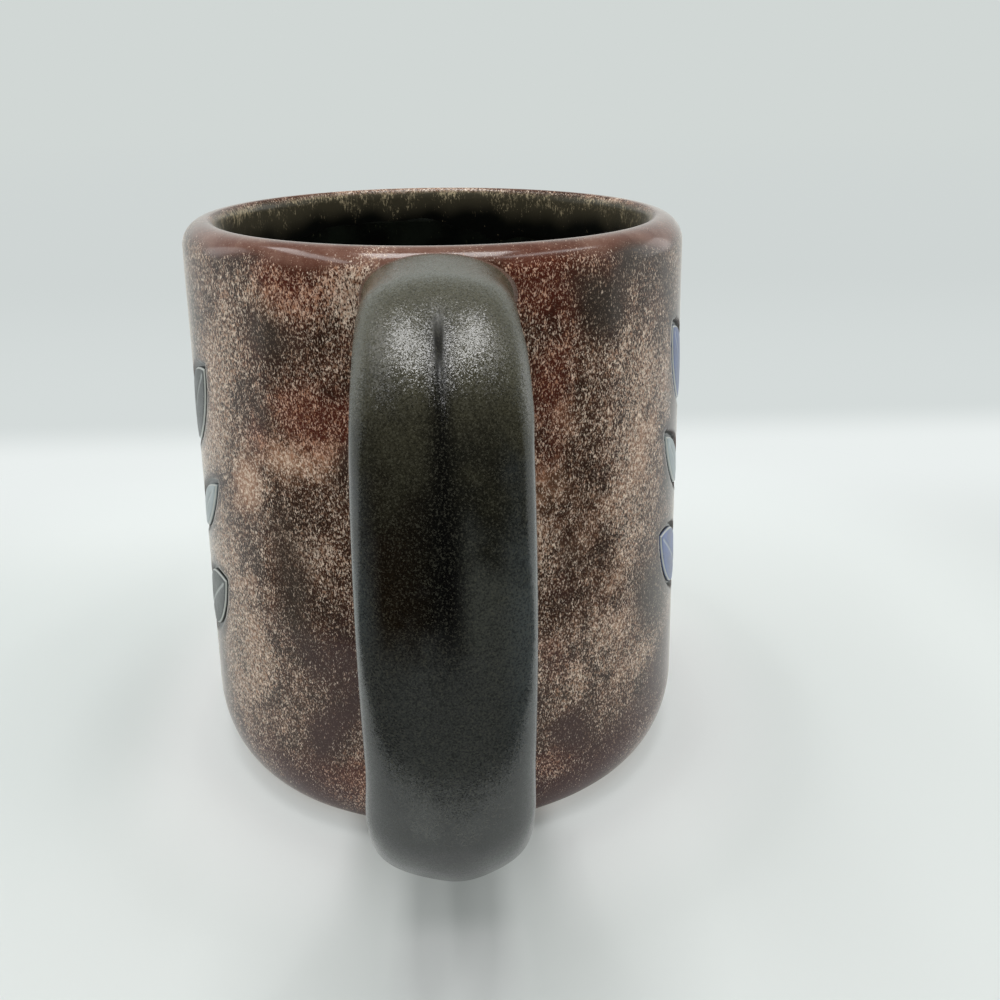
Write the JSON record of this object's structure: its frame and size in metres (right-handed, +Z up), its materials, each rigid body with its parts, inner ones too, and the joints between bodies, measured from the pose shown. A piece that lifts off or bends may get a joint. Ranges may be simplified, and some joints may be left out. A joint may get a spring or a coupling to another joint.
{
  "type": "stoneware mug",
  "caption": "Stoneware mug with a slightly flared body, a thick rounded lip, a broad strap handle, speckled brown glaze and inlaid leaf sprigs.",
  "frame": {"origin": "middle of the foot ring's resting plane, on the axis of the cup", "axes": "+Z up along the cup's axis, +X from the axis through the middle of the handle, +Y towards the right flank as seen with the handle towards the viewer"},
  "size_m": [0.1344, 0.0938, 0.1016],
  "materials": {
    "bare_clay": "bare fired red-brown stoneware, fine grit, matt",
    "joining_slip": "fired slip, the same clay let down with water",
    "speckled_glaze": "satin reactive glaze, red-brown and charcoal clouds under fine cream flecks",
    "liner_glaze": "glossy black-green glaze",
    "handle_glaze": "satin bronze-charcoal glaze with a fine grey-green speckle",
    "charcoal_inlay": "satin charcoal inlay glaze with a thin pale edge",
    "slate_blue_inlay": "satin slate-blue inlay glaze, brushed lighter and darker",
    "pale_blue_inlay": "satin pale grey-blue inlay glaze"
  },
  "bodies": {
    "root": {"cup_body": "bare_clay", "handle_core": "bare_clay", "upper_slip_joint": "joining_slip", "lower_slip_joint": "joining_slip", "outer_glaze": "speckled_glaze", "liner_glaze": "liner_glaze", "handle_glaze": "handle_glaze", "left_stem": "pale_blue_inlay", "left_leaf_1": "charcoal_inlay", "left_leaf_2": "slate_blue_inlay", "left_leaf_3": "pale_blue_inlay", "left_leaf_4": "charcoal_inlay", "left_leaf_5": "charcoal_inlay", "left_leaf_6": "pale_blue_inlay", "left_leaf_7": "slate_blue_inlay", "left_berries": "slate_blue_inlay", "right_stem": "pale_blue_inlay", "right_leaf_1": "pale_blue_inlay", "right_leaf_2": "slate_blue_inlay", "right_leaf_3": "charcoal_inlay", "right_leaf_4": "pale_blue_inlay", "right_leaf_5": "slate_blue_inlay", "right_leaf_6": "slate_blue_inlay", "right_leaf_7": "charcoal_inlay", "right_berries": "slate_blue_inlay"}
  },
  "joints": []
}
